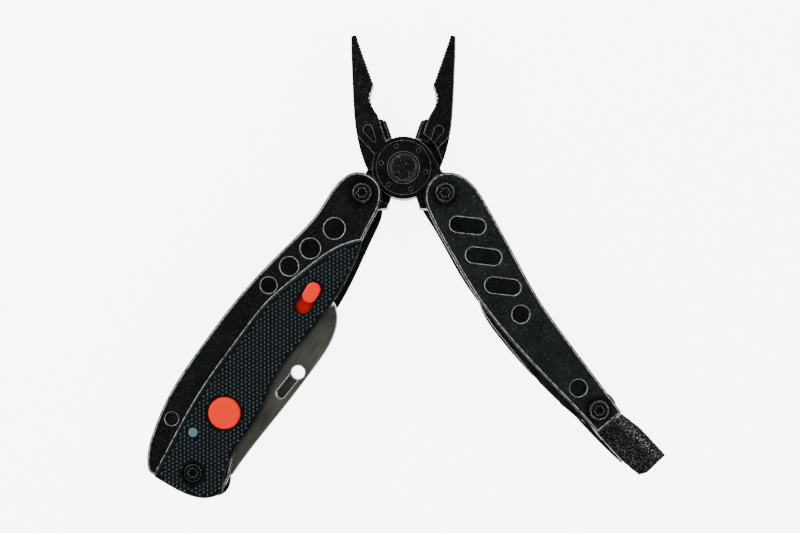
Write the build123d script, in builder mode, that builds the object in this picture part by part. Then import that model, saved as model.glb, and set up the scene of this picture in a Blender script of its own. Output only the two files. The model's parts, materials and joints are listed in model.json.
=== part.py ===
from build123d import *
import os
from math import cos, radians, sin

# Folding multi tool: pliers between two handles that hold the blades and a torch.
# It lies on its back plates with the pliers part open. +Z is up, the back plates
# lie on Z = 0, and the origin is under the middle of the whole tool.
# Each handle has a frame of its own: local x runs from its tang screw to its end screw.
# Left handle: +y is the side that faces the other handle. Right handle: +y faces away.

# ---- driving dimensions, mm and degrees ----
PIVOT_X, PIVOT_Y = -1.42, 29.83       # pliers pivot, from the origin
HALF_OPEN = 19.3                     # each jaw's lean from the middle line
TANG_X, TANG_Y = 8.99, -11.25        # tang screw from the pivot, jaws closed
LEFT_ANGLE, LEFT_LENGTH = 238.9, 96.1
RIGHT_ANGLE, RIGHT_LENGTH = -54.7, 78.3

PLATE = 1.8                          # handle plates
TOOL = 2.1                           # outer tools
BACK_TOOL_LOW = 1.9
FRONT_TOOL_LOW = 12.0
FRONT_LOW = 14.2
FRONT_TOP = FRONT_LOW + PLATE
GRIP_TOP = 17.1
MIDDLE = 8.0                         # height of the pliers' lap joint
LAP_GAP = 0.05
EDGE = 0.45                          # chamfer round a plate
RIM = 0.15                           # chamfer round its holes

HEAD_LOW, HEAD_TOP = 2.8, 13.2       # boss and tangs
JAW_SET_BACK = 1.4                   # a jaw's far face, below its own side of the boss
JAW_TIP_HALF = 1.8                   # half thickness at the tip
JAW_TIP_Y = 42.6
JAW_FACE = 0.15                      # gripping face, from the middle line
BOSS_R, LAP_R = 9.3, 11.8
BOLT_R = 3.0
BOLT_HEAD_R = 3.9
RING_R, RING_STEP_R, RING_HOLE_R = 8.1, 4.75, 4.05
RING_THICK, RING_STEP = 0.7, 0.35
SPANNER_HOLE_R, SPANNER_CIRCLE_R = 0.6, 6.7
TANG_R, WASHER_R = 5.7, 4.4
CUTTER_LOW, CUTTER_TOP = 5.6, 10.4
RUNNING = 0.05                       # clearance between parts that turn
FITTED = 0.02                        # clearance between parts that do not

SCREW_R = 2.4                        # shank of the tang and end screws
SCREW_HEAD_R = 2.85
SCREW_TOP = FRONT_TOP + 1.15
NUT_R, NUT_LOW, NUT_TOP = 3.6, 0.1, 1.1
TOOL_HEEL = 5.6                      # round heel of each folding tool
OPENER_LOW, OPENER_THICK = 4.15, 1.9
LINER = 1.1
LINER_START = 60.0
STRIKER_LOW, STRIKER_TOP = 6.2, 11.8

TORCH_AT, TORCH_LONG, TORCH_WIDE = (72, -1.9), 36, 14
TORCH_FLOOR = 0.35
CELL_R, CELL_THICK = 6.25, 1.6
BOARD_THICK, SWITCH_THICK, LED_THICK = 0.6, 0.25, 0.5
BUTTON_TRAVEL = 0.5
BUTTON_AT, BUTTON_R = (76.2, -1.1), 4.7
LENS_AT, LENS_R = (85.8, -6.1), 1.4
CELL_AT = (61.5, -1.9)
SLOT_START, SLOT_END, SLOT_Y, SLOT_WIDTH = 29.5, 39.6, 2.5, 4.4
CATCH_TRACK = 0.45                   # depth of the catch's foot under the grip
FRAME_PIN, PIN_TAIL_R, PIN_BODY_R, PIN_HEAD_R = (85.9, -13.6), 1.3, 2.1, 1.9
GROOVE = 0.3                         # depth of the line beside the grip


def turned(x, y, angle):
    """A point turned about the pivot."""
    a = radians(angle)
    return (PIVOT_X + x * cos(a) - y * sin(a), PIVOT_Y + x * sin(a) + y * cos(a))


def upright(point, angle):
    """A level plane with its x axis turned by angle."""
    direction = (cos(radians(angle)), sin(radians(angle)), 0)
    return Plane(origin=(point[0], point[1], 0), x_dir=direction)


FRONT_HALF = upright((PIVOT_X, PIVOT_Y), HALF_OPEN)
REAR_HALF = upright((PIVOT_X, PIVOT_Y), -HALF_OPEN)
LEFT = upright(turned(-TANG_X, TANG_Y, -HALF_OPEN), LEFT_ANGLE)
RIGHT = upright(turned(TANG_X, TANG_Y, HALF_OPEN), RIGHT_ANGLE)


def discs(plane, low, top, spots, mode=Mode.ADD):
    """Upright discs, each given as x, y and radius."""
    with BuildSketch(plane.offset(low)) as section:
        for x, y, radius in spots:
            with Locations((x, y)):
                Circle(radius)
    extrude(section.sketch, amount=top - low, mode=mode)


def top_edges(part):
    return part.faces().sort_by(Axis.Z)[-1].edges()


def bottom_edges(part):
    return part.faces().sort_by(Axis.Z)[0].edges()


def rims(part):
    """Edges round the openings in the top face."""
    openings = part.faces().sort_by(Axis.Z)[-1].inner_wires()
    return [edge for wire in openings for edge in wire.edges()]


# ---- pliers head ----
def pliers_half(plane, side, lap_low, lap_top, jaw_low, jaw_top):
    """One jaw with its half of the boss and its tang, drawn with the jaws closed.

    side is -1 where the jaw is left of the middle line. The lap heights are this
    half's share of the boss. Near the pivot the other half has the rest.
    """
    upright_middle = Plane(origin=plane.origin, x_dir=plane.y_dir, z_dir=plane.x_dir)
    with BuildPart() as half:
        with BuildSketch(plane.offset(jaw_low)):
            with BuildLine():
                outer = Spline(
                    (side * 1.7, JAW_TIP_Y),
                    (side * 2.6, 40.0),
                    (side * 5.7, 29.9),
                    (side * 8.3, 21.0),
                    (side * 9.8, 14.4),
                    (side * 10.45, 8.5),
                    (side * 10.3, 3.0),
                )
                Polyline(outer @ 1, (side * 4.0, 1.0), (side * 2.1, 9.0), (side * 2.1, 17.5))
                ThreePointArc(
                    (side * 2.1, 17.5), (side * 2.6, 21.6), (side * JAW_FACE, 26.6)
                )
                Polyline(
                    (side * JAW_FACE, 26.6),
                    (side * JAW_FACE, JAW_TIP_Y - 0.4),
                    (side * 0.5, JAW_TIP_Y),
                    outer @ 0,
                )
            make_face()
        extrude(amount=jaw_top - jaw_low)
        with BuildSketch(upright_middle):
            Polygon(
                (0, jaw_low),
                (13, jaw_low),
                (JAW_TIP_Y, MIDDLE - JAW_TIP_HALF),
                (JAW_TIP_Y, MIDDLE + JAW_TIP_HALF),
                (13, jaw_top),
                (0, jaw_top),
                align=None,
            )
        extrude(amount=14, both=True, mode=Mode.INTERSECT)
        chamfer(half.edges().filter_by(Axis.Z, reverse=True).group_by(Axis.Z)[-1], 0.3)
        # fine serrations on the flat, coarse teeth in the pipe grip
        with BuildSketch(plane):
            for step in range(14):
                with Locations((side * JAW_FACE, 27.6 + step)):
                    Rectangle(0.55, 0.55, rotation=45)
            for step in range(6):
                around = radians(-42 + 15 * step)
                with Locations((side * (-1.9 + 4.5 * cos(around)), 21.5 + 4.5 * sin(around))):
                    Circle(0.5)
        extrude(amount=FRONT_TOP, mode=Mode.SUBTRACT)
        # lower shoulder beside the boss, and the drop-shaped pocket in the face
        with BuildSketch(plane.offset(jaw_top - 1.3)):
            Polygon(
                (side * 10.1, 14.4),
                (side * 6.7, 6.6),
                (side * 8.6, 0),
                (side * 12, 0),
                (side * 12, 14.4),
                align=None,
            )
        extrude(amount=3, mode=Mode.SUBTRACT)
        with BuildSketch(plane.offset(jaw_top - 0.8)):
            with Locations((side * 6.2, 14.2)):
                Circle(1.4)
            with Locations((side * 5.5, 10.6)):
                Circle(0.55)
            make_hull()
        extrude(amount=2, mode=Mode.SUBTRACT)
        # slot for the wire cutter insert
        with BuildSketch(plane.offset(CUTTER_LOW)):
            cutter_outline(side, 0.02)
        extrude(amount=CUTTER_TOP - CUTTER_LOW, mode=Mode.SUBTRACT)
        # tang with its stop lug
        with BuildSketch(plane.offset(HEAD_LOW)):
            with Locations((-side * TANG_X, TANG_Y)):
                Circle(TANG_R)
            with BuildLine():
                Polyline(
                    (-side * 9.1, 1.9),
                    (-side * 10.4, -4.8),
                    (-side * 14.6, -10.4),
                    (-side * 8.0, -16.8),
                    (-side * 1.6, -13.4),
                    (-side * 0.7, -13.1),
                    (-side * 0.7, -9.0),
                    (side * 3.0, -3.0),
                    close=True,
                )
            make_face()
        extrude(amount=HEAD_TOP - HEAD_LOW)
        # lap joint: only this half's share stays near the pivot
        away = (0, lap_low) if lap_low > HEAD_LOW else (lap_top, FRONT_TOP)
        discs(plane, *away, [(0, 0, LAP_R)], Mode.SUBTRACT)
        discs(plane, lap_low, lap_top, [(0, 0, BOSS_R)])
        discs(plane, 0, FRONT_TOP, [(0, 0, BOLT_R + RUNNING)], Mode.SUBTRACT)
        tang_hole = (-side * TANG_X, TANG_Y, SCREW_R + RUNNING)
        discs(plane, 0, FRONT_TOP, [tang_hole], Mode.SUBTRACT)
    return half


def cutter_outline(side, gap=0.0):
    """Hard wire cutter insert: its working edge is on the middle line."""
    Polygon(
        (side * JAW_FACE, 9.9),
        (side * JAW_FACE, 15.2),
        (side * 2.0, 16.4),
        (side * (4.4 + gap), 16.4),
        (side * (4.4 + gap), 9.9),
        align=None,
    )


def cutter(plane, side):
    with BuildPart() as insert:
        with BuildSketch(plane.offset(CUTTER_LOW + FITTED)):
            cutter_outline(side)
        extrude(amount=CUTTER_TOP - CUTTER_LOW - 2 * FITTED)
        edge_line = insert.edges().filter_by(Axis.Z, reverse=True).group_by(
            Axis(plane.origin, plane.x_dir * side)
        )[0]
        chamfer(edge_line, 0.9)
    return insert


def spanner_ring(low, step_low):
    """Ring round the pivot with six spanner holes and an inner step."""
    with BuildPart() as ring:
        discs(FRONT_HALF, low, low + RING_THICK, [(0, 0, RING_R)])
        discs(FRONT_HALF, low, low + RING_THICK, [(0, 0, RING_HOLE_R)], Mode.SUBTRACT)
        discs(FRONT_HALF, step_low, step_low + RING_STEP, [(0, 0, RING_STEP_R)], Mode.SUBTRACT)
        with BuildSketch(FRONT_HALF.offset(low)):
            with PolarLocations(SPANNER_CIRCLE_R, 6, start_angle=29.4):
                Circle(SPANNER_HOLE_R)
        extrude(amount=RING_THICK, mode=Mode.SUBTRACT)
    return ring


front_jaw = pliers_half(
    FRONT_HALF, -1, MIDDLE + LAP_GAP, HEAD_TOP, HEAD_LOW + JAW_SET_BACK, HEAD_TOP
)
rear_jaw = pliers_half(
    REAR_HALF, 1, HEAD_LOW, MIDDLE - LAP_GAP, HEAD_LOW, HEAD_TOP - JAW_SET_BACK
)
front_cutter = cutter(FRONT_HALF, -1)
rear_cutter = cutter(REAR_HALF, 1)
RING_TOP, RING_LOW = HEAD_TOP + RING_THICK, HEAD_LOW - RING_THICK
pivot_front_ring = spanner_ring(HEAD_TOP, RING_TOP - RING_STEP)
pivot_rear_ring = spanner_ring(RING_LOW, RING_LOW)

with BuildPart() as pivot_bolt:
    discs(FRONT_HALF, HEAD_TOP, RING_TOP + 0.15, [(0, 0, BOLT_HEAD_R)])
    chamfer(top_edges(pivot_bolt), 0.3)
    discs(FRONT_HALF, RING_LOW, HEAD_TOP, [(0, 0, BOLT_R)])

with BuildPart() as pivot_nut:
    discs(FRONT_HALF, RING_LOW - 0.15, HEAD_LOW, [(0, 0, BOLT_HEAD_R)])
    chamfer(bottom_edges(pivot_nut), 0.3)
    discs(FRONT_HALF, RING_LOW, HEAD_LOW, [(0, 0, BOLT_R + FITTED)], Mode.SUBTRACT)


# ---- screws, nuts and washers ----
def screw(plane, x, head_low=FRONT_TOP, head_top=SCREW_TOP):
    """Round-headed screw with a six-lobe recess."""
    with BuildPart() as body:
        discs(plane, head_low, head_top, [(x, 0, SCREW_HEAD_R)])
        chamfer(top_edges(body), 0.35)
        with BuildSketch(plane.offset(head_top - 0.8)):
            with Locations((x, 0)):
                Circle(1.15)
                with PolarLocations(1.15, 6):
                    Circle(0.4)
        extrude(amount=1, mode=Mode.SUBTRACT)
        discs(plane, NUT_LOW + 0.3, head_low, [(x, 0, SCREW_R)])
    return body


def nut(plane, x):
    """Flat round nut, sunk in the back plate, with two spanner holes."""
    with BuildPart() as body:
        discs(plane, NUT_LOW, NUT_TOP, [(x, 0, NUT_R - FITTED)])
        discs(plane, NUT_LOW + 0.3, NUT_TOP, [(x, 0, SCREW_R + FITTED)], Mode.SUBTRACT)
        with BuildSketch(plane.offset(NUT_LOW)):
            with Locations((x, 2.95), (x, -2.95)):
                Circle(0.3)
        extrude(amount=0.5, mode=Mode.SUBTRACT)
    return body


def tang_washers(plane):
    """Two washers that centre the tang between the plates."""
    with BuildPart() as pair:
        for low, top in ((PLATE, HEAD_LOW - RUNNING), (HEAD_TOP + RUNNING, FRONT_LOW)):
            discs(plane, low, top, [(0, 0, WASHER_R)])
            discs(plane, low, top, [(0, 0, SCREW_R + FITTED)], Mode.SUBTRACT)
    return pair


left_tang_screw = screw(LEFT, 0)
left_tang_nut = nut(LEFT, 0)
left_tang_washers = tang_washers(LEFT)
left_end_screw = screw(LEFT, LEFT_LENGTH, head_top=FRONT_TOP + 0.9)
left_end_nut = nut(LEFT, LEFT_LENGTH)
right_tang_screw = screw(RIGHT, 0)
right_tang_nut = nut(RIGHT, 0)
right_tang_washers = tang_washers(RIGHT)
right_end_screw = screw(RIGHT, RIGHT_LENGTH)
right_end_nut = nut(RIGHT, RIGHT_LENGTH)


# ---- left handle ----
LEFT_OUTER = [
    (-2.4, 5.1), (-5.6, 0.3), (-4.2, -4.9), (1.0, -7.6), (12, -8.3), (20, -9.8), (32, -12.8),
    (48, -15.8), (64, -17.4), (80, -18.0), (91, -16.6), (101, -13.0), (102.6, -11.4),
    (102.9, -9.1),
]
LEFT_FRONT_INNER = [
    (102.6, -2.0), (101.6, 4.0), (99.8, 7.8), (96.5, 9.7), (82, 6.95), (73.5, 7.5), (58.6, 5.9),
    (43.3, 7.8), (31, 8.8), (18, 8.0), (8, 6.9),
]
LEFT_BACK_INNER = [
    (102.8, 4.0), (101.6, 9.6), (98.6, 10.8), (94.0, 9.2), (84, 8.5), (72, 8.6), (58, 8.0),
    (46, 9.4), (34, 10.9), (22, 10.4), (8, 8.9), (1, 7.4),
]
GRIP_SIDE = [
    (12.0, 7.35), (18, 8.7), (31, 9.4), (43.3, 8.3), (58.6, 6.4), (73.5, 8.1), (82, 7.45),
    (96.5, 10.4),
]
GRIP_END = [(96.5, 10.4), (100.8, 6.6), (102.6, 0.5), (102.9, -9.1)]
GRIP_BORDER = [
    (12.0, 7.35), (17.8, 2.3), (30, -3.0), (41.8, -6.9), (54.7, -8.6), (66, -9.7), (78.1, -10.2),
    (92, -9.7), (102.9, -9.1),
]


with BuildPart() as left_front_plate:
    with BuildSketch(LEFT.offset(FRONT_LOW)):
        with BuildLine():
            Spline(*LEFT_OUTER, *LEFT_FRONT_INNER, periodic=True)
        make_face()
    extrude(amount=PLATE)
    chamfer(top_edges(left_front_plate), EDGE)
    ladder = [(13.2, -1.6, 3.1), (21.9, -4.6, 2.95), (29.6, -7.2, 2.75), (37.5, -9.5, 2.4)]
    pin_hole = FRAME_PIN + (PIN_HEAD_R + RUNNING,)
    discs(LEFT, FRONT_LOW, FRONT_TOP, ladder + [pin_hole], Mode.SUBTRACT)
    chamfer(rims(left_front_plate), RIM)
    # groove along the grip's border
    with BuildSketch(LEFT.offset(FRONT_TOP - GROOVE)):
        with BuildLine():
            near = Spline(*GRIP_BORDER)
            far = Spline(*[(x - 0.2, y - 0.35) for x, y in GRIP_BORDER])
            Line(near @ 0, far @ 0)
            Line(near @ 1, far @ 1)
        make_face()
    extrude(amount=GROOVE, mode=Mode.SUBTRACT)
    screws = [(0, 0, SCREW_R + FITTED), (LEFT_LENGTH, 0, SCREW_R + FITTED)]
    discs(LEFT, FRONT_LOW, FRONT_TOP, screws, Mode.SUBTRACT)
    # window behind the grip for the torch
    with BuildSketch(LEFT.offset(FRONT_LOW)):
        with Locations(TORCH_AT):
            RectangleRounded(TORCH_LONG, TORCH_WIDE, 3)
    extrude(amount=PLATE, mode=Mode.SUBTRACT)

with BuildPart() as left_back_plate:
    with BuildSketch(LEFT):
        with BuildLine():
            Spline(*LEFT_OUTER, *LEFT_BACK_INNER, periodic=True)
        make_face()
    extrude(amount=PLATE)
    chamfer(bottom_edges(left_back_plate), EDGE)
    nuts = [(0, 0, NUT_R), (LEFT_LENGTH, 0, NUT_R)]
    discs(LEFT, 0, NUT_TOP, nuts, Mode.SUBTRACT)
    discs(LEFT, 0, PLATE, screws, Mode.SUBTRACT)
    discs(LEFT, 0, PLATE, [FRAME_PIN + (PIN_TAIL_R + FITTED,)], Mode.SUBTRACT)

with BuildPart() as left_frame_pin:
    discs(LEFT, NUT_LOW, PLATE, [FRAME_PIN + (PIN_TAIL_R,)])
    discs(LEFT, PLATE, FRONT_LOW, [FRAME_PIN + (PIN_BODY_R,)])
    discs(LEFT, FRONT_LOW, FRONT_TOP - 0.6, [FRAME_PIN + (PIN_HEAD_R,)])
    discs(LEFT, FRONT_TOP - 0.9, FRONT_TOP - 0.6, [FRAME_PIN + (0.6,)], Mode.SUBTRACT)

with BuildPart() as left_grip:
    with BuildSketch(LEFT.offset(FRONT_TOP)):
        with BuildLine():
            Spline(*GRIP_SIDE)
            Spline(*GRIP_END)
            Spline(*GRIP_BORDER[::-1])
        make_face()
    extrude(amount=GRIP_TOP - FRONT_TOP)
    chamfer(top_edges(left_grip).sort_by(Edge.length)[-3:], 0.4)
    holes = [BUTTON_AT + (BUTTON_R + 0.1,), LENS_AT + (LENS_R + FITTED,)]
    holes = holes + [(LEFT_LENGTH, 0, SCREW_HEAD_R + 0.35)]
    discs(LEFT, FRONT_TOP, GRIP_TOP, holes, Mode.SUBTRACT)
    # slot for the catch, with a shallow track under it
    slot_middle = (SLOT_START + SLOT_END) / 2
    with BuildSketch(LEFT.offset(FRONT_TOP)):
        with Locations((slot_middle, SLOT_Y)):
            SlotOverall(SLOT_END - SLOT_START, SLOT_WIDTH)
    extrude(amount=2, mode=Mode.SUBTRACT)
    with BuildSketch(LEFT.offset(FRONT_TOP)):
        with Locations((36, SLOT_Y)):
            Rectangle(22.6, 6.0)
    extrude(amount=0.5, mode=Mode.SUBTRACT)
    # shallow space over the torch parts
    with BuildSketch(LEFT.offset(FRONT_TOP)):
        with Locations(TORCH_AT):
            RectangleRounded(TORCH_LONG - 1, TORCH_WIDE - 0.6, 2.5)
    extrude(amount=0.3, mode=Mode.SUBTRACT)

with BuildPart() as slide_catch:
    with BuildSketch(LEFT.offset(FRONT_TOP + FITTED)):
        with Locations((34, SLOT_Y)):
            Rectangle(18.0, 5.8)
    extrude(amount=CATCH_TRACK - FITTED)
    with BuildSketch(LEFT.offset(FRONT_TOP + CATCH_TRACK)):
        with Locations((32.75, SLOT_Y)):
            SlotOverall(6.3, SLOT_WIDTH - 0.2)
    extrude(amount=1.65)
    chamfer(top_edges(slide_catch), 0.45)

with BuildPart() as torch_cover:
    with BuildSketch(LEFT.offset(FRONT_LOW)):
        with Locations(TORCH_AT):
            RectangleRounded(TORCH_LONG - 0.1, TORCH_WIDE - 0.1, 2.95)
    extrude(amount=TORCH_FLOOR)

FLOOR_TOP = FRONT_LOW + TORCH_FLOOR
with BuildPart() as coin_cell:
    discs(LEFT, FLOOR_TOP, FLOOR_TOP + CELL_THICK, [CELL_AT + (CELL_R,)])
    chamfer(top_edges(coin_cell), 0.25)

BOARD_TOP = FLOOR_TOP + BOARD_THICK
with BuildPart() as torch_board:
    with BuildSketch(LEFT.offset(FLOOR_TOP)):
        with Locations((78.8, -2.4)):
            RectangleRounded(20.4, 11.6, 1.0)
    extrude(amount=BOARD_THICK)

with BuildPart() as torch_switch:
    discs(LEFT, BOARD_TOP, BOARD_TOP + SWITCH_THICK, [BUTTON_AT + (2.4,)])

with BuildPart() as torch_led:
    with BuildSketch(LEFT.offset(BOARD_TOP)):
        with Locations(LENS_AT):
            Rectangle(2.0, 2.0)
    extrude(amount=LED_THICK)
    discs(LEFT, BOARD_TOP + LED_THICK, BOARD_TOP + 2 * LED_THICK, [LENS_AT + (0.7,)])

with BuildPart() as torch_lens:
    discs(LEFT, FRONT_TOP + 0.32, GRIP_TOP + 0.15, [LENS_AT + (LENS_R,)])
    fillet(top_edges(torch_lens), 0.25)

with BuildPart() as torch_button:
    stem_low = BOARD_TOP + SWITCH_THICK + BUTTON_TRAVEL + RUNNING
    discs(LEFT, stem_low, FRONT_TOP, [BUTTON_AT + (1.8,)])
    discs(LEFT, FRONT_TOP - 0.1, FRONT_TOP + 0.28, [BUTTON_AT + (5.3,)])
    discs(LEFT, FRONT_TOP + 0.28, GRIP_TOP + 0.75, [BUTTON_AT + (BUTTON_R,)])
    fillet(top_edges(torch_button), 0.7)


# ---- tools in the left handle ----
def heel(plane, pivot_x, low, thick):
    """Round heel and pivot hole of a folding tool."""
    discs(plane, low, low + thick, [(pivot_x, 0, TOOL_HEEL)])
    discs(plane, low, low + thick, [(pivot_x, 0, SCREW_R + RUNNING)], Mode.SUBTRACT)


with BuildPart() as knife_blade:
    with BuildSketch(LEFT.offset(FRONT_TOOL_LOW)):
        with BuildLine():
            spine = Spline(
                (32.0, 9.4), (35.6, 12.9), (42.5, 14.85), (51.3, 14.6), (66, 13.0), (91, 10.2)
            )
            Polyline(spine @ 1, (99.0, 4.7), (92.0, -3.9), (86.0, -3.9), (85.0, -2.6))
            Spline((85.0, -2.6), (62, -1.6), (44, 2.2), spine @ 0)
        make_face()
    extrude(amount=TOOL)
    inward = Axis(LEFT.origin, LEFT.y_dir)
    cutting = knife_blade.edges().filter_by(GeomType.BSPLINE).sort_by(inward)[:2]
    chamfer(cutting, 0.8)
    with BuildSketch(LEFT.offset(FRONT_TOOL_LOW)):
        with Locations((55.2, 11.1)):
            Circle(1.95)
        with Locations(Location((59.2, 10.5), -8)):
            SlotCenterToCenter(8.1, 2.7)
    extrude(amount=TOOL, mode=Mode.SUBTRACT)
    heel(LEFT, LEFT_LENGTH, FRONT_TOOL_LOW, TOOL)

with BuildPart() as saw_blade:
    with BuildSketch(LEFT.offset(BACK_TOOL_LOW)):
        with BuildLine():
            back = Spline((36.5, 4.0), (40.0, 8.0), (46, 9.0), (56, 12.0), (66, 12.2), (91, 9.6))
            Polyline(back @ 1, (99.0, 4.7), (92.0, -3.9), (86.0, -3.9), (84.0, -1.6), (37.5, 1.6),
                     back @ 0)
        make_face()
        teeth = 22
        for step in range(teeth):
            along = step / teeth
            with Locations((40 + 42 * along, 1.35 - 2.9 * along)):
                RegularPolygon(1.1, 3, rotation=90, mode=Mode.SUBTRACT)
        # relief in line with the knife's thumb hole
        with Locations((56.5, 10.9)):
            Circle(2.1, mode=Mode.SUBTRACT)
        with Locations((54.6, 12.0)):
            Rectangle(3.8, 3.4, mode=Mode.SUBTRACT)
    extrude(amount=TOOL)
    heel(LEFT, LEFT_LENGTH, BACK_TOOL_LOW, TOOL)


def liner(low):
    """Lock liner: a frame plate with a sprung arm cut free along its middle."""
    with BuildPart() as body:
        with BuildSketch(LEFT.offset(low)):
            with BuildLine():
                Polyline(
                    (LINER_START, 5.0),
                    (88.1, 6.0),
                    (98.1, 5.4),
                    (101.3, 0),
                    (98.1, -7.0),
                    (84.1, -12.0),
                    (LINER_START, -11.0),
                    close=True,
                )
            make_face()
            with Locations((75.1, 1.0)):
                Rectangle(26, 0.8, mode=Mode.SUBTRACT)
            with Locations((LEFT_LENGTH, 0)):
                Circle(SCREW_R + FITTED, mode=Mode.SUBTRACT)
        extrude(amount=LINER)
        discs(LEFT, low, low + LINER, [FRAME_PIN + (PIN_BODY_R + FITTED,)], Mode.SUBTRACT)
    return body


LINER_LOW, LINER_HIGH = BACK_TOOL_LOW + TOOL + 0.1, FRONT_TOOL_LOW - 0.1 - LINER
left_back_liner = liner(LINER_LOW)
left_front_liner = liner(LINER_HIGH)

with BuildPart() as left_end_spacer:
    with BuildSketch(LEFT.offset(LINER_LOW + LINER)):
        with BuildLine():
            Polyline((88, 4.6), (98, 4.4), (100.6, 0), (98, -6.2), (92, -8.0), (88, -5), close=True)
        make_face()
        with Locations((LEFT_LENGTH, 0)):
            Circle(SCREW_R + FITTED, mode=Mode.SUBTRACT)
    extrude(amount=LINER_HIGH - LINER_LOW - LINER)


# ---- right handle ----
RIGHT_OUTER = [
    (66.6, 4.75), (54.3, 4.45), (41.4, 4.55), (28.7, 5.9), (9.7, 8.05), (1.3, 7.9), (-4.0, 4.8),
    (-5.7, 0),
]
RIGHT_FRONT_INNER = [
    (-2.8, -5.3), (3.0, -7.4), (18, -9.2), (32, -10.1), (46, -9.35), (60, -7.6), (74, -5.4),
    (83.6, -4.3),
]
RIGHT_BACK_INNER = [
    (-3.4, -6.4), (4.0, -8.0), (24, -9.9), (35, -10.0), (50, -9.2), (66, -7.4), (84, -5.4),
    (98.4, -2.8),
]
SLOTS = [(11.7, -0.1), (21.8, -1.5), (32.3, -2.0)]
SLOT_LEAN, SLOT_LONG, SLOT_WIDE = 48, 10.6, 4.6


with BuildPart() as right_front_plate:
    with BuildSketch(RIGHT.offset(FRONT_LOW)):
        with BuildLine():
            edge = Spline((82.8, 5.1), *RIGHT_OUTER, *RIGHT_FRONT_INNER)
            Line(edge @ 1, edge @ 0)
        make_face()
    extrude(amount=PLATE)
    chamfer(top_edges(right_front_plate), EDGE)
    with BuildSketch(RIGHT.offset(FRONT_LOW)):
        for spot in SLOTS:
            with Locations(Location(spot, SLOT_LEAN)):
                SlotOverall(SLOT_LONG, SLOT_WIDE)
    extrude(amount=PLATE, mode=Mode.SUBTRACT)
    holes = [(42.1, -2.45, 2.6), (69.6, -1.15, 2.5)]
    discs(RIGHT, FRONT_LOW, FRONT_TOP, holes, Mode.SUBTRACT)
    chamfer(rims(right_front_plate), RIM)
    screws = [(0, 0, SCREW_R + FITTED), (RIGHT_LENGTH, 0, SCREW_R + FITTED)]
    discs(RIGHT, FRONT_LOW, FRONT_TOP, screws, Mode.SUBTRACT)

with BuildPart() as right_back_plate:
    with BuildSketch(RIGHT):
        with BuildLine():
            edge = Spline((98.0, 4.6), (84, 4.9), *RIGHT_OUTER, *RIGHT_BACK_INNER)
            Line(edge @ 1, edge @ 0)
        make_face()
    extrude(amount=PLATE)
    chamfer(bottom_edges(right_back_plate), EDGE)
    nuts = [(0, 0, NUT_R), (RIGHT_LENGTH, 0, NUT_R)]
    discs(RIGHT, 0, NUT_TOP, nuts, Mode.SUBTRACT)
    discs(RIGHT, 0, PLATE, screws, Mode.SUBTRACT)

with BuildPart() as striker_block:
    with BuildSketch(RIGHT.offset(STRIKER_LOW)):
        with BuildLine():
            Polyline(
                (62, 3.4), (84.1, 3.4), (84.1, 5.5), (91.4, 7.6), (101.8, 9.0), (103.0, 1.4),
                (102.2, -1.2), (96.0, -2.9), (85.8, -4.2), (72, -4.4), (62, -3.4), close=True,
            )
        make_face()
        with Locations((RIGHT_LENGTH, 0)):
            Circle(SCREW_R + FITTED, mode=Mode.SUBTRACT)
    extrude(amount=STRIKER_TOP - STRIKER_LOW)


def right_tool(low, start, inner, width, notch=0.0):
    """Long folding tool of the right handle; its back edge stands proud of the plates."""
    with BuildPart() as tool:
        with BuildSketch(RIGHT.offset(low)):
            with BuildLine():
                back = Spline((start, inner + 2.2), (start + 5, inner), (46, inner - 0.5),
                              (60, -9.7), (75, -7.0))
                Polyline(back @ 1, (80.5, -4.6), (76, 4.6), (70, 1.0))
                Spline((70, 1.0), (52, inner + width), (start + 2, inner + width - 0.4))
                Line((start + 2, inner + width - 0.4), back @ 0)
            make_face()
            if notch:
                with Locations((62, -9.9)):
                    Circle(notch, mode=Mode.SUBTRACT)
        extrude(amount=TOOL)
        heel(RIGHT, RIGHT_LENGTH, low, TOOL)
    return tool


flat_driver = right_tool(FRONT_TOOL_LOW, 27.0, -10.2, 6.0)
wood_file = right_tool(BACK_TOOL_LOW, 30.0, -10.6, 8.4, notch=1.4)

with BuildPart() as bottle_opener:
    with BuildSketch(RIGHT.offset(OPENER_LOW)):
        with BuildLine():
            Polyline((61.5, -4.6), (64, -8.3), (73, -7.6), (80.5, -4.8), (76.5, 4.6), (72, 2.2),
                     (68.5, -2.4), (65.8, -4.6), (64.6, -2.2), (62.4, -1.6), close=True)
        make_face()
    extrude(amount=OPENER_THICK)
    heel(RIGHT, RIGHT_LENGTH, OPENER_LOW, OPENER_THICK)

# ---- export ----
pieces = {
    "front_jaw": front_jaw,
    "rear_jaw": rear_jaw,
    "front_cutter": front_cutter,
    "rear_cutter": rear_cutter,
    "pivot_bolt": pivot_bolt,
    "pivot_nut": pivot_nut,
    "pivot_front_ring": pivot_front_ring,
    "pivot_rear_ring": pivot_rear_ring,
    "left_tang_screw": left_tang_screw,
    "left_tang_nut": left_tang_nut,
    "left_tang_washers": left_tang_washers,
    "left_end_screw": left_end_screw,
    "left_end_nut": left_end_nut,
    "right_tang_screw": right_tang_screw,
    "right_tang_nut": right_tang_nut,
    "right_tang_washers": right_tang_washers,
    "right_end_screw": right_end_screw,
    "right_end_nut": right_end_nut,
    "left_front_plate": left_front_plate,
    "left_back_plate": left_back_plate,
    "left_frame_pin": left_frame_pin,
    "left_grip": left_grip,
    "slide_catch": slide_catch,
    "torch_cover": torch_cover,
    "coin_cell": coin_cell,
    "torch_board": torch_board,
    "torch_switch": torch_switch,
    "torch_led": torch_led,
    "torch_lens": torch_lens,
    "torch_button": torch_button,
    "knife_blade": knife_blade,
    "saw_blade": saw_blade,
    "left_back_liner": left_back_liner,
    "left_front_liner": left_front_liner,
    "left_end_spacer": left_end_spacer,
    "right_front_plate": right_front_plate,
    "right_back_plate": right_back_plate,
    "striker_block": striker_block,
    "flat_driver": flat_driver,
    "wood_file": wood_file,
    "bottle_opener": bottle_opener,
}
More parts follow.
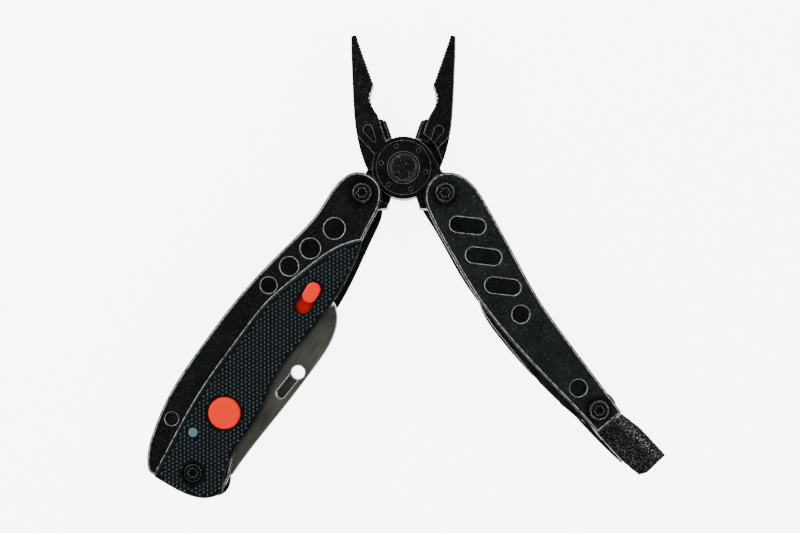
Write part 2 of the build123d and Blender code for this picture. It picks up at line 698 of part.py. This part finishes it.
os.makedirs("parts", exist_ok=True)
for name, piece in pieces.items():
    piece.part.label = name
    export_step(piece.part, f"parts/{name}.step")
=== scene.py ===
import json
from math import cos, pi, sin

import bmesh
import bpy
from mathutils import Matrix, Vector, noise
from mathutils.bvhtree import BVHTree


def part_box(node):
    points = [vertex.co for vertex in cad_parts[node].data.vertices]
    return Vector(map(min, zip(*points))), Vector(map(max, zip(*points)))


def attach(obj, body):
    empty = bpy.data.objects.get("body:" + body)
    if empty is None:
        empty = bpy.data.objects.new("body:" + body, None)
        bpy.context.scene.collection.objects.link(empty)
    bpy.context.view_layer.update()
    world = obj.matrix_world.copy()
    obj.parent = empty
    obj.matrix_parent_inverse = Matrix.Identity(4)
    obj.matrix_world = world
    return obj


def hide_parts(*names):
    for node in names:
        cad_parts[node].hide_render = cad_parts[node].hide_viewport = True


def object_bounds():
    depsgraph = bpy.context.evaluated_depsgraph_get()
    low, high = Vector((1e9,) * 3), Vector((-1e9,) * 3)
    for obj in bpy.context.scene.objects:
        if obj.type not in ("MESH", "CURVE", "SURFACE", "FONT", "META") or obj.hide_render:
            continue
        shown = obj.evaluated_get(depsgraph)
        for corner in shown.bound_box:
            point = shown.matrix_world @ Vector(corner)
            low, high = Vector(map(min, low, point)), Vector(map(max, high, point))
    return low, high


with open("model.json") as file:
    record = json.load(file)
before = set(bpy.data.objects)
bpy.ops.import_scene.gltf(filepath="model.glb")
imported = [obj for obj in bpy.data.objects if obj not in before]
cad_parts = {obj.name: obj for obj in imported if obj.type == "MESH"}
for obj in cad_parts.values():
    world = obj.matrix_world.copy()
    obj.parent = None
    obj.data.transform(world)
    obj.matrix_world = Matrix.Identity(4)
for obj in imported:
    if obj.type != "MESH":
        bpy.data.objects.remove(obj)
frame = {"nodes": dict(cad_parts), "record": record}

# Looks of a folding multi tool lying on its back. Metres, in the CAD frame.
MM = 0.001
CAD_LOW, CAD_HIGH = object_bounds()
JOINTS = {joint["name"]: joint for joint in frame["record"]["behaviour"]["joints"]}
PIVOT = Vector(JOINTS["jaw_pivot"]["pos_m"])
LEFT_TANG = Vector(JOINTS["left_handle_fold"]["pos_m"])
LEFT_END = Vector(JOINTS["knife_swing"]["pos_m"])
RIGHT_TANG = Vector(JOINTS["right_handle_fold"]["pos_m"])
RIGHT_END = Vector(JOINTS["driver_swing"]["pos_m"])
TOOL_SPAN = CAD_HIGH.x - CAD_LOW.x
DOWN = Vector((0, 0, -1))
FLAT_SLACK = 0.02 * MM                # how far from a face's level still counts as on it
LEVEL, NOT_LEVEL = 0.99, 0.95         # a face's upward share: level above the first, turned below the second
UPRIGHT = 0.3                         # below this a face counts as a side wall


# ---- node material helpers ----
IOR = 1.5
BEVEL_SAMPLES = 6
STILL_FLAT, FULL_EDGE = 0.998, 0.955  # cosine between the true and the rounded normal


class Shader:
    """A Principled material whose patterns follow the piece they are on."""

    def __init__(self, name, metallic, roughness, specular=0.5):
        self.material = bpy.data.materials.new(name)
        self.material.use_nodes = True
        self.nodes = self.material.node_tree.nodes
        self.links = self.material.node_tree.links
        self.surface = self.nodes["Principled BSDF"]
        self.surface.inputs["Metallic"].default_value = metallic
        self.surface.inputs["Roughness"].default_value = roughness
        self.surface.inputs["Specular IOR Level"].default_value = specular
        self.surface.inputs["IOR"].default_value = IOR
        self.place = self.nodes.new("ShaderNodeTexCoord").outputs["Object"]

    def link(self, source, node, socket):
        self.links.new(source, node.inputs[socket])

    def noise(self, scale, detail=3.0, roughness=0.5, stretch=None, turn=0.0):
        node = self.nodes.new("ShaderNodeTexNoise")
        node.inputs["Scale"].default_value = scale
        node.inputs["Detail"].default_value = detail
        node.inputs["Roughness"].default_value = roughness
        self.link(self.stretched(stretch, turn), node, "Vector")
        return node.outputs["Fac"]

    def cells(self, scale):
        node = self.nodes.new("ShaderNodeTexVoronoi")
        node.inputs["Scale"].default_value = scale
        self.link(self.place, node, "Vector")
        return node.outputs["Distance"]

    def stretched(self, stretch, turn):
        if stretch is None:
            return self.place
        node = self.nodes.new("ShaderNodeMapping")
        node.vector_type = "TEXTURE"
        node.inputs["Rotation"].default_value = (0, 0, turn)
        node.inputs["Scale"].default_value = stretch
        self.link(self.place, node, "Vector")
        return node.outputs["Vector"]

    def ramp(self, value, start, end, low=0.0, high=1.0):
        node = self.nodes.new("ShaderNodeMapRange")
        node.clamp = True
        node.inputs["From Min"].default_value = start
        node.inputs["From Max"].default_value = end
        node.inputs["To Min"].default_value = low
        node.inputs["To Max"].default_value = high
        self.link(value, node, "Value")
        return node.outputs["Result"]

    def maths(self, operation, first, second):
        node = self.nodes.new("ShaderNodeMath")
        node.operation = operation
        self.link(first, node, 0)
        if isinstance(second, float):
            node.inputs[1].default_value = second
        else:
            self.link(second, node, 1)
        return node.outputs["Value"]

    def mixed(self, amount, first, second):
        """Two colours, each a socket or a tuple, mixed by amount."""
        node = self.nodes.new("ShaderNodeMix")
        node.data_type = "RGBA"
        self.link(amount, node, "Factor")
        for value, index in ((first, 6), (second, 7)):
            if isinstance(value, tuple):
                node.inputs[index].default_value = (*value, 1)
            else:
                self.links.new(value, node.inputs[index])
        return node.outputs[2]

    def edges(self, radius):
        """Near 1 beside a sharp edge, falling to 0 within radius of it."""
        bevel = self.nodes.new("ShaderNodeBevel")
        bevel.samples = BEVEL_SAMPLES
        bevel.inputs["Radius"].default_value = radius
        geometry = self.nodes.new("ShaderNodeNewGeometry")
        dot = self.nodes.new("ShaderNodeVectorMath")
        dot.operation = "DOT_PRODUCT"
        self.link(bevel.outputs["Normal"], dot, 0)
        self.link(geometry.outputs["Normal"], dot, 1)
        return self.ramp(dot.outputs["Value"], STILL_FLAT, FULL_EDGE)

    def away_from(self, centres, near, far, low):
        """1 beyond far from every upright axis in centres, falling to low at near."""
        flat = self.nodes.new("ShaderNodeVectorMath")
        flat.operation = "MULTIPLY"
        flat.inputs[1].default_value = (1, 1, 0)
        self.link(self.place, flat, 0)
        product = None
        for centre in centres:
            gap = self.nodes.new("ShaderNodeVectorMath")
            gap.operation = "DISTANCE"
            gap.inputs[1].default_value = (centre.x, centre.y, 0)
            self.link(flat.outputs["Vector"], gap, 0)
            share = self.ramp(gap.outputs["Value"], near, far, low, 1.0)
            product = share if product is None else self.maths("MULTIPLY", product, share)
        return product

    def colour(self, socket):
        self.link(socket, self.surface, "Base Color")

    def roughness(self, socket):
        self.link(socket, self.surface, "Roughness")

    def bump(self, height, distance, strength=1.0):
        node = self.nodes.new("ShaderNodeBump")
        node.inputs["Distance"].default_value = distance
        node.inputs["Strength"].default_value = strength
        self.link(height, node, "Height")
        self.link(node.outputs["Normal"], self.surface, "Normal")


# ---- materials ----
WORN = (0.62, 0.65, 0.63)             # bare steel where the black has rubbed off
PAINTED_SCREW_SHADOW = (0.001, 0.0013, 0.0014)       # painted shadow round a screw head
SCREW_SHADOW_NEAR, SCREW_SHADOW_FAR, SCREW_SHADOW_LOW = 2.9 * MM, 5.2 * MM, 0.25
SATIN_HIGHLIGHT_OUT, SATIN_HIGHLIGHT_IN = 0.26 * MM, 0.7 * MM
MOULDED_EDGE_HIGHLIGHT = 0.12 * MM


def blackened(name, dark, light, specks, wear_and_highlight, edge_radius=0.19 * MM, rough=0.5, screw_shadows=()):
    """Stonewashed black steel: cloudy black, fine light specks and edges worn bright."""
    made = Shader(name, metallic=1.0, roughness=rough)
    cloud = made.ramp(made.noise(170, 4), 0.35, 0.65)
    skin = made.mixed(cloud, dark, light)
    speck = made.ramp(made.noise(2600, 3, 0.65), 0.55, 0.7, 0, specks)
    patches = made.ramp(made.noise(420, 2), 0.36, 0.6, 0.4, 1.0)
    skin = made.mixed(made.maths("MULTIPLY", speck, patches), skin, WORN)
    # Painted shadow: near each listed screw axis the colour goes toward near black, for the shadow of the
    # raised screw heads.
    if screw_shadows:
        clear = made.away_from(screw_shadows, SCREW_SHADOW_NEAR, SCREW_SHADOW_FAR, SCREW_SHADOW_LOW)
        skin = made.mixed(clear, PAINTED_SCREW_SHADOW, skin)
    broken = made.ramp(made.noise(900, 3, 0.7), 0.32, 0.56, 0.25, 1.0)
    edge = made.maths("MULTIPLY", made.edges(edge_radius), broken)
    made.colour(made.mixed(made.maths("MULTIPLY", edge, wear_and_highlight), skin, WORN))
    made.roughness(made.ramp(made.noise(1300, 3), 0.3, 0.7, rough - 0.08, rough + 0.12))
    made.bump(made.noise(2600, 3, 0.6), 0.02 * MM, 0.6)
    return made.material


def satin_steel(name, dark, light, turn, wear_and_highlight):
    """Ground steel with a fine grain and a painted highlight line just inside its sharp edges."""
    made = Shader(name, metallic=1.0, roughness=0.36)
    grain = made.noise(1500, 3, 0.6, (12, 1, 1), turn)
    cloud = made.ramp(made.noise(120, 3), 0.35, 0.65)
    skin = made.mixed(cloud, dark, light)
    skin = made.mixed(made.ramp(grain, 0.35, 0.7, 0, 0.2), skin, (0.15, 0.145, 0.125))
    # Painted highlight: a bright line just inside the sharp edges, where light catches an edge bevel.
    highlight_inset = made.maths("SUBTRACT", made.edges(SATIN_HIGHLIGHT_IN), made.edges(SATIN_HIGHLIGHT_OUT))
    line = made.ramp(highlight_inset, 0.0, 1.0, 0.0, wear_and_highlight)
    made.colour(made.mixed(line, skin, (0.85, 0.84, 0.8)))
    made.roughness(made.ramp(grain, 0.3, 0.7, 0.3, 0.46))
    made.bump(grain, 0.006 * MM, 0.4)
    return made.material


def moulded(name, tint, deep, rough, grain_scale, specular=0.4, edge=0.0, pale=(0.1, 0.12, 0.13)):
    """Moulded plastic with a fine skin and slightly uneven colour, and a painted highlight in the pale
    colour along sharp edges when edge is given.
    """
    made = Shader(name, metallic=0.0, roughness=rough, specular=specular)
    cloud = made.ramp(made.noise(140, 4), 0.3, 0.7)
    skin = made.mixed(cloud, deep, tint)
    # Painted highlight: sharp edges are mixed toward the pale colour.
    if edge:
        skin = made.mixed(made.maths("MULTIPLY", made.edges(MOULDED_EDGE_HIGHLIGHT), edge), skin, pale)
    made.colour(skin)
    made.roughness(made.ramp(made.noise(grain_scale / 2, 3), 0.3, 0.7, rough - 0.06, rough + 0.08))
    made.bump(made.noise(grain_scale, 2), 0.01 * MM, 0.5)
    return made.material


def rubbed_steel():
    """Steel worn bright, in broken patches."""
    made = Shader("rubbed_steel", metallic=1.0, roughness=0.4)
    broken = made.ramp(made.noise(800, 4, 0.7), 0.4, 0.58)
    made.colour(made.mixed(broken, (0.08, 0.085, 0.083), (0.72, 0.75, 0.73)))
    made.roughness(made.ramp(broken, 0, 1, 0.5, 0.35))
    made.bump(made.noise(2600, 3, 0.6), 0.01 * MM, 0.5)
    return made.material


HIGHLIGHT_BAND_SLOPE = 0.2                      # the striker's painted highlight band, outward from the end screw
HIGHLIGHT_BAND_RISE, HIGHLIGHT_BAND_FALL = (0.2 * MM, 2.2 * MM), (2.6 * MM, 3.9 * MM)


def cast_skin():
    """Coarse black cast skin with bright specks, strongest in a painted highlight band along its outer side.
    """
    made = Shader("cast_skin", metallic=1.0, roughness=0.42)
    local = made.nodes.new("ShaderNodeMapping")
    local.vector_type = "TEXTURE"
    local.inputs["Location"].default_value = RIGHT_END
    local.inputs["Rotation"].default_value = (0, 0, RIGHT_LEAN)
    made.link(made.place, local, "Vector")
    split = made.nodes.new("ShaderNodeSeparateXYZ")
    made.link(local.outputs["Vector"], split, "Vector")
    slope = made.maths("MULTIPLY", split.outputs["X"], HIGHLIGHT_BAND_SLOPE)
    across = made.maths("SUBTRACT", split.outputs["Y"], slope)
    # Painted highlight: a band along the block's outer side, where light catches its rounded edge, lets the
    # bright specks show in full.
    rising = made.ramp(across, *HIGHLIGHT_BAND_RISE, 0.0, 1.0)
    falling = made.ramp(across, *HIGHLIGHT_BAND_FALL, 1.0, 0.25)
    highlight_band = made.maths("MULTIPLY", rising, falling)
    grains = made.ramp(made.cells(2200), 0.12, 0.42)
    fine = made.ramp(made.noise(2900, 4, 0.7), 0.55, 0.63)
    specks_and_highlight = made.maths("MULTIPLY", fine, made.ramp(highlight_band, 0.0, 1.0, 0.3, 1.0))
    skin = made.mixed(grains, (0.014, 0.016, 0.0155), (0.004, 0.005, 0.005))
    made.colour(made.mixed(specks_and_highlight, skin, (0.5, 0.53, 0.52)))
    made.roughness(made.ramp(grains, 0, 1, 0.3, 0.6))
    made.bump(made.noise(3000, 4, 0.7), 0.1 * MM, 0.8)
    return made.material


def circuit():
    """Green solder resist, raised and paler over the tracks."""
    made = Shader("circuit", metallic=0.0, roughness=0.35)
    tracks = made.ramp(made.noise(700, 0, 0.5, (1, 6, 1)), 0.5, 0.53)
    made.colour(made.mixed(tracks, (0.01, 0.09, 0.035), (0.02, 0.16, 0.06)))
    made.bump(tracks, 0.03 * MM)
    return made.material


def lamp_window():
    """Pale blue window over the lamp."""
    made = Shader("lamp_window", metallic=0.0, roughness=0.3, specular=0.2)
    cloud = made.ramp(made.noise(500, 2), 0.3, 0.7)
    made.colour(made.mixed(cloud, (0.05, 0.125, 0.155), (0.07, 0.165, 0.19)))
    made.bump(made.noise(900, 2), 0.01 * MM, 0.3)
    return made.material


RIGHT_AXIS = (RIGHT_END - RIGHT_TANG).normalized()
RIGHT_LEAN = Vector((1, 0)).angle_signed(RIGHT_AXIS.to_2d()) * -1
BLADE_TURN = (LEFT_TANG - LEFT_END).to_2d().angle_signed(Vector((1, 0)))
SCREW_SHADOW_CENTRES = (LEFT_TANG, RIGHT_TANG, RIGHT_END)
# The plate steels carry a painted shadow round the screw heads.
PLATE_STEEL = blackened(
    "plate_steel", (0.009, 0.0112, 0.0106), (0.0145, 0.018, 0.017), specks=0.1, wear_and_highlight=1.0,
    edge_radius=0.22 * MM, screw_shadows=SCREW_SHADOW_CENTRES,
)
LEFT_STEEL = blackened(
    "left_steel", (0.005, 0.0062, 0.006), (0.0085, 0.0104, 0.01), specks=0.06, wear_and_highlight=1.0,
    edge_radius=0.22 * MM, screw_shadows=SCREW_SHADOW_CENTRES,
)
# Darker copy of the plate steel for the sloped chamfers: painted shade.
PAINTED_SHADE_CHAMFER_STEEL = blackened(
    "chamfer_steel_painted_shade", (0.005, 0.006, 0.006), (0.01, 0.012, 0.0115), specks=0.2, wear_and_highlight=0.35,
    edge_radius=0.1 * MM,
)
HEAD_STEEL = blackened(
    "head_steel", (0.0035, 0.0044, 0.0042), (0.0065, 0.008, 0.0076), specks=0.07, wear_and_highlight=0.6,
    edge_radius=0.13 * MM,
)
BOLT_STEEL = blackened(
    "bolt_steel", (0.0045, 0.005, 0.005), (0.01, 0.011, 0.011), specks=0.26, wear_and_highlight=0.5,
    edge_radius=0.12 * MM,
)
SCREW_STEEL = blackened(
    "screw_steel", (0.0025, 0.0032, 0.0034), (0.0055, 0.0068, 0.007), specks=0.08, wear_and_highlight=0.6,
    edge_radius=0.12 * MM,
)
CUTTER_STEEL = blackened(
    "cutter_steel", (0.003, 0.0035, 0.004), (0.007, 0.008, 0.0085), specks=0.06, wear_and_highlight=0.35
)
BLADE_STEEL = satin_steel(
    "blade_steel", (0.062, 0.06, 0.052), (0.105, 0.101, 0.088), turn=BLADE_TURN, wear_and_highlight=1.0
)
RIGHT_STEEL = blackened(
    "right_tool_steel", (0.005, 0.0072, 0.007), (0.012, 0.0162, 0.0155), specks=0.04, wear_and_highlight=0.12,
    edge_radius=0.1 * MM,
)
LINER_STEEL = satin_steel(
    "liner_steel", (0.03, 0.03, 0.03), (0.055, 0.055, 0.053), turn=BLADE_TURN, wear_and_highlight=0.5
)
BRONZE = satin_steel("washer_bronze", (0.2, 0.13, 0.05), (0.3, 0.2, 0.09), turn=0, wear_and_highlight=0.3)
NICKEL = satin_steel("cell_nickel", (0.5, 0.5, 0.48), (0.66, 0.66, 0.64), turn=0, wear_and_highlight=0.2)
# The grip's edges carry a faint painted highlight.
GRIP = moulded(
    "grip_skin", (0.0016, 0.0028, 0.0034), (0.0009, 0.0017, 0.0022), rough=0.6, grain_scale=3000,
    specular=0.06, edge=0.3, pale=(0.03, 0.036, 0.039),
)
# Lighter copy of the grip plastic with strongly pale edges: painted highlight on the knurl points.
KNURL_PAINTED_HIGHLIGHT = moulded(
    "knurl_skin_painted_highlight", (0.004, 0.0065, 0.0075), (0.0025, 0.0042, 0.005), rough=0.45, grain_scale=3000,
    specular=0.2, edge=0.9, pale=(0.11, 0.15, 0.16),
)
SPACER = moulded(
    "spacer_skin", (0.004, 0.0045, 0.005), (0.003, 0.0035, 0.004), rough=0.6, grain_scale=2500,
    specular=0.15,
)
TORCH_BLACK = moulded(
    "torch_black", (0.014, 0.014, 0.015), (0.009, 0.009, 0.01), rough=0.55, grain_scale=2500
)
# The orange parts' edges carry a painted highlight in a brighter orange.
ORANGE = moulded(
    "signal_orange", (0.88, 0.018, 0.003), (0.8, 0.012, 0.002), rough=0.6, grain_scale=2600,
    specular=0.06, edge=0.25, pale=(0.95, 0.06, 0.02),
)
# Darker orange: painted shade on the catch's foot, sunk in its slot.
ORANGE_PAINTED_SHADE = moulded(
    "orange_painted_shade", (0.3, 0.003, 0.001), (0.22, 0.002, 0.0006), rough=0.6, grain_scale=2600,
    specular=0.05,
)
LED = moulded("led_white", (0.85, 0.85, 0.72), (0.7, 0.7, 0.56), rough=0.25, grain_scale=1500)
CAST = cast_skin()
RUBBED = rubbed_steel()
CIRCUIT = circuit()
LAMP = lamp_window()

FINISHES = {
    HEAD_STEEL: ("front_jaw", "rear_jaw", "pivot_front_ring", "pivot_rear_ring"),
    BOLT_STEEL: ("pivot_bolt", "pivot_nut"),
    LEFT_STEEL: ("left_front_plate", "left_back_plate"),
    PLATE_STEEL: ("right_front_plate", "right_back_plate"),
    SCREW_STEEL: (
        "left_tang_screw", "left_end_screw", "right_tang_screw", "right_end_screw",
        "left_tang_nut", "left_end_nut", "right_tang_nut", "right_end_nut",
    ),
    CUTTER_STEEL: ("front_cutter", "rear_cutter"),
    BLADE_STEEL: ("knife_blade", "saw_blade"),
    RIGHT_STEEL: ("flat_driver", "wood_file", "bottle_opener", "left_frame_pin"),
    LINER_STEEL: ("left_back_liner", "left_front_liner"),
    BRONZE: ("left_tang_washers", "right_tang_washers"),
    NICKEL: ("coin_cell",),
    GRIP: ("left_grip",),
    SPACER: ("left_end_spacer",),
    TORCH_BLACK: ("torch_cover", "torch_switch"),
    ORANGE: ("slide_catch", "torch_button"),
    LED: ("torch_led",),
    CAST: ("striker_block",),
    CIRCUIT: ("torch_board",),
    LAMP: ("torch_lens",),
}


def finish_node(node, material):
    mesh = frame["nodes"][node].data
    if not mesh.materials:
        mesh.materials.append(material)
    for index in range(len(mesh.materials)):
        mesh.materials[index] = material


for material, nodes in FINISHES.items():
    for node in nodes:
        finish_node(node, material)


CATCH_PAINTED_SHADE_DROP = 1.2 * MM           # painted shade from this far below the knob's top: low on its side wall and above the foot
WIDE_CHAMFER = 0.3 * MM               # between the narrow 0.15 mm chamfers and the wide 0.45 mm ones


def paint_catch_foot_shade():
    """The catch's foot and the low faces of its knob's wall take a darker orange: painted shade."""
    mesh = frame["nodes"]["slide_catch"].data
    mesh.materials.append(ORANGE_PAINTED_SHADE)
    top = max(vertex.co.z for vertex in mesh.vertices)
    for face in mesh.polygons:
        if face.center.z < top - CATCH_PAINTED_SHADE_DROP:
            face.material_index = len(mesh.materials) - 1


paint_catch_foot_shade()


def paint_shade_on_chamfers():
    """The wide sloped chamfers round the plates take a darker copy of the steel, a painted shade, beside the
    rubbed edge of each face.
    """
    for node in ("left_front_plate", "left_back_plate", "right_front_plate", "right_back_plate"):
        mesh = frame["nodes"][node].data
        mesh.materials.append(PAINTED_SHADE_CHAMFER_STEEL)
        for face in mesh.polygons:
            heights = [mesh.vertices[corner].co.z for corner in face.vertices]
            wide = max(heights) - min(heights) > WIDE_CHAMFER
            if wide and UPRIGHT < abs(face.normal.z) < NOT_LEVEL:
                face.material_index = len(mesh.materials) - 1


paint_shade_on_chamfers()


def add_piece(name, mesh, material, body):
    """A new piece that moves with body and takes the given material."""
    piece = bpy.data.objects.new(name, mesh)
    bpy.context.scene.collection.objects.link(piece)
    mesh.materials.clear()
    mesh.materials.append(material)
    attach(piece, body)
    return piece


def tree_of(node):
    mesh = frame["nodes"][node].data
    corners = [vertex.co for vertex in mesh.vertices]
    return BVHTree.FromPolygons(corners, [face.vertices for face in mesh.polygons])


# ---- grip: raised diamond knurl inside a smooth border ----
KNURL_COLUMN = 1.12 * MM
KNURL_ROW = 1.22 * MM
KNURL_WIDTH = 0.50 * MM
KNURL_LENGTH = 0.56 * MM
KNURL_HEIGHT = 0.34 * MM
KNURL_SUNK = 0.05 * MM
KNURL_BORDER = 0.62 * MM
KNURL_CROWN = 0.28                    # the flat tip, as a share of the base
PROBES = 8
PROBE_START, PROBE_REACH = 1 * MM, 3 * MM


def inside_flat(tree, x, y, top, margin):
    """True if x, y and a ring of radius margin round it lie on the flat top."""
    probes = [(x, y)]
    for step in range(PROBES):
        around = 2 * pi * step / PROBES
        probes.append((x + margin * cos(around), y + margin * sin(around)))
    for spot in probes:
        hit = tree.ray_cast(Vector((*spot, top + PROBE_START)), DOWN, PROBE_REACH)[0]
        if hit is None or hit.z < top - FLAT_SLACK:
            return False
    return True


def diamond_ring(shape, x, y, z, share):
    """Four corners of a level diamond, a share of the knurl's full width and length."""
    across, along = KNURL_WIDTH * share, KNURL_LENGTH * share
    corners = ((across, 0), (0, along), (-across, 0), (0, -along))
    return [shape.verts.new((x + dx, y + dy, z)) for dx, dy in corners]


def diamond(shape, x, y, base):
    """One knurl point: a low pyramid on a diamond base."""
    corners = diamond_ring(shape, x, y, base - KNURL_SUNK, 1)
    crown = diamond_ring(shape, x, y, base + KNURL_HEIGHT, KNURL_CROWN)
    for index in range(4):
        after = (index + 1) % 4
        shape.faces.new((corners[index], corners[after], crown[after], crown[index]))
    shape.faces.new(crown)
    shape.faces.new(corners[::-1])


def knurl():
    low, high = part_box("left_grip")
    tree = tree_of("left_grip")
    shape = bmesh.new()
    columns = int((high.x - low.x) / KNURL_COLUMN) + 1
    rows = int((high.y - low.y) / KNURL_ROW) + 1
    for column in range(columns):
        x = low.x + column * KNURL_COLUMN
        shift = KNURL_ROW / 2 if column % 2 else 0.0
        for row in range(rows):
            y = low.y + row * KNURL_ROW + shift
            if inside_flat(tree, x, y, high.z, KNURL_BORDER):
                diamond(shape, x, y, high.z)
    mesh = bpy.data.meshes.new("grip_knurl")
    shape.to_mesh(mesh)
    shape.free()
    add_piece("grip_knurl", mesh, KNURL_PAINTED_HIGHLIGHT, "left_handle")


knurl()


# ---- rubbed lines along the outlines of the front faces ----
LINE_HEIGHT = 0.02 * MM
LONGEST_RIM = 30 * MM                 # a little more than the way round the largest slot
LEFT_LINE_WIDTH, RIGHT_LINE_WIDTH = 0.24 * MM, 0.22 * MM
WELD = 0.001 * MM


def outline_edges(edges):
    """The edges in connected chains that are too long to be the rim of a hole."""
    left, kept = set(edges), []
    while left:
        chain, reached = [], [left.pop()]
        while reached:
            edge = reached.pop()
            chain.append(edge)
            for vertex in edge.verts:
                for other in [link for link in vertex.link_edges if link in left]:
                    left.remove(other)
                    reached.append(other)
        if sum(edge.calc_length() for edge in chain) > LONGEST_RIM:
            kept.extend(chain)
    return kept


def face_rims(shape):
    """Each edge of the front face, with the level direction that points off the face."""
    top = max(vertex.co.z for vertex in shape.verts)
    sides = {}
    for edge in shape.edges:
        lowest = min(vertex.co.z for vertex in edge.verts)
        if len(edge.link_faces) != 2 or lowest < top - FLAT_SLACK:
            continue
        flat, side = sorted(edge.link_faces, key=lambda face: -face.normal.z)
        if flat.normal.z > LEVEL and side.normal.z < NOT_LEVEL:
            sides[edge] = Vector((side.normal.x, side.normal.y, 0)).normalized()
    return sides


def rubbed_line(node, body, width):
    """A thin polished line laid just inside the outline of the front face."""
    shape = bmesh.new()
    shape.from_mesh(frame["nodes"][node].data)
    bmesh.ops.remove_doubles(shape, verts=shape.verts, dist=WELD)
    shape.normal_update()
    sides = face_rims(shape)
    chain = outline_edges(list(sides))
    outward, uses = {}, {}
    for edge in chain:
        for vertex in edge.verts:
            outward[vertex] = outward.get(vertex, Vector()) + sides[edge]
            uses[vertex] = uses.get(vertex, 0) + 1
    strip = bmesh.new()
    lift = Vector((0, 0, LINE_HEIGHT))
    rings = {}
    for vertex, normal in outward.items():
        near, far = vertex.co, vertex.co - normal.normalized() * width
        corners = (near + lift, far + lift, far - lift, near - lift)
        rings[vertex] = [strip.verts.new(spot) for spot in corners]
    for edge in chain:
        first, second = (rings[vertex] for vertex in edge.verts)
        for index in range(4):
            after = (index + 1) % 4
            strip.faces.new((first[index], second[index], second[after], first[after]))
    for vertex, count in uses.items():
        if count == 1:
            strip.faces.new(rings[vertex])
    bmesh.ops.recalc_face_normals(strip, faces=strip.faces)
    mesh = bpy.data.meshes.new(node + "_line")
    strip.to_mesh(mesh)
    strip.free()
    shape.free()
    add_piece(node + "_line", mesh, RUBBED, body)


rubbed_line("left_front_plate", "left_handle", LEFT_LINE_WIDTH)
rubbed_line("right_front_plate", "right_handle", RIGHT_LINE_WIDTH)


# ---- striking block: cast skin with real lumps, sunk below its solid's faces ----
CAST_VOXEL = 0.3 * MM
CAST_COARSE, CAST_FINE = 0.22 * MM, 0.14 * MM
CAST_COARSE_SIZE, CAST_FINE_SIZE = 1.5 * MM, 0.7 * MM


def swell(place, size):
    """Smooth noise from 0 to 1 with lumps of about this size."""
    return noise.noise(place / size) * 0.5 + 0.5


def cast_block():
    source = frame["nodes"]["striker_block"]
    piece = add_piece("striker_cast", source.data.copy(), CAST, "right_handle")
    remesh = piece.modifiers.new("even", "REMESH")
    remesh.mode = "VOXEL"
    remesh.voxel_size = CAST_VOXEL
    graph = bpy.context.evaluated_depsgraph_get()
    mesh = bpy.data.meshes.new_from_object(piece.evaluated_get(graph))
    piece.modifiers.clear()
    piece.data = mesh
    moved = []
    for vertex in mesh.vertices:
        coarse = CAST_COARSE * swell(vertex.co, CAST_COARSE_SIZE)
        fine = CAST_FINE * swell(vertex.co, CAST_FINE_SIZE)
        moved.append(vertex.co - vertex.normal * (coarse + fine))
    for vertex, place in zip(mesh.vertices, moved):
        vertex.co = place
    mesh.shade_smooth()
    mesh.materials.clear()
    mesh.materials.append(CAST)
    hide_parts("striker_block")


cast_block()


# ---- floor, lights and camera ----
FLOOR_HALF = TOOL_SPAN * 12
FLOOR_DROP = 0.02 * MM
FLOOR_GLOW = 6.5                      # bright enough to leave almost no shadow
WORLD_LIGHT = 0.6
# name, place, width and length, power; each lamp faces the origin
LAMPS = (
    ("key", (-0.5, 0.42, 0.5), (0.45, 0.45), 8.0),
    ("fill", (0.6, 0.25, 0.5), (0.6, 0.6), 4.0),
    ("low", (0.1, -0.7, 0.45), (0.8, 0.4), 3.0),
)
CAMERA_FROM_PIVOT = (-1.04 * MM, -29.34 * MM)
CAMERA_HEIGHT = 336 * MM
CAMERA_LENS, CAMERA_SENSOR = 48.96, 36  # these two are in millimetres


def floor():
    level = CAD_LOW.z - FLOOR_DROP
    turns = ((-1, -1), (1, -1), (1, 1), (-1, 1))
    corners = [(x * FLOOR_HALF, y * FLOOR_HALF, level) for x, y in turns]
    mesh = bpy.data.meshes.new("floor")
    mesh.from_pydata(corners, [], [(0, 1, 2, 3)])
    pale = Shader("pale_floor", metallic=0.0, roughness=0.7, specular=0.2)
    pale.colour(pale.mixed(pale.noise(3, 2), (0.93, 0.93, 0.93), (0.96, 0.96, 0.96)))
    pale.surface.inputs["Emission Color"].default_value = (1, 1, 1, 1)
    pale.surface.inputs["Emission Strength"].default_value = FLOOR_GLOW
    mesh.materials.append(pale.material)
    sheet = bpy.data.objects.new("floor", mesh)
    bpy.context.scene.collection.objects.link(sheet)


def softbox(name, place, size, power):
    light = bpy.data.lights.new(name, "AREA")
    light.shape = "RECTANGLE"
    light.size, light.size_y = size
    light.energy = power
    lamp = bpy.data.objects.new(name, light)
    lamp.location = place
    lamp.rotation_mode = "QUATERNION"
    lamp.rotation_quaternion = (-Vector(place)).to_track_quat("-Z", "Y")
    bpy.context.scene.collection.objects.link(lamp)


def camera():
    """Looks straight down on the tool from close by."""
    data = bpy.data.cameras.new("camera")
    data.sensor_width = CAMERA_SENSOR
    data.lens = CAMERA_LENS
    seen = bpy.data.objects.new("camera", data)
    right, up = CAMERA_FROM_PIVOT
    seen.location = (PIVOT.x + right, PIVOT.y + up, CAMERA_HEIGHT)
    bpy.context.scene.collection.objects.link(seen)
    bpy.context.scene.camera = seen


def surroundings():
    world = bpy.data.worlds.new("studio")
    world.use_nodes = True
    sky = world.node_tree.nodes["Background"]
    sky.inputs["Color"].default_value = (1, 1, 1, 1)
    sky.inputs["Strength"].default_value = WORLD_LIGHT
    bpy.context.scene.world = world


floor()
surroundings()
for lamp in LAMPS:
    softbox(*lamp)
camera()
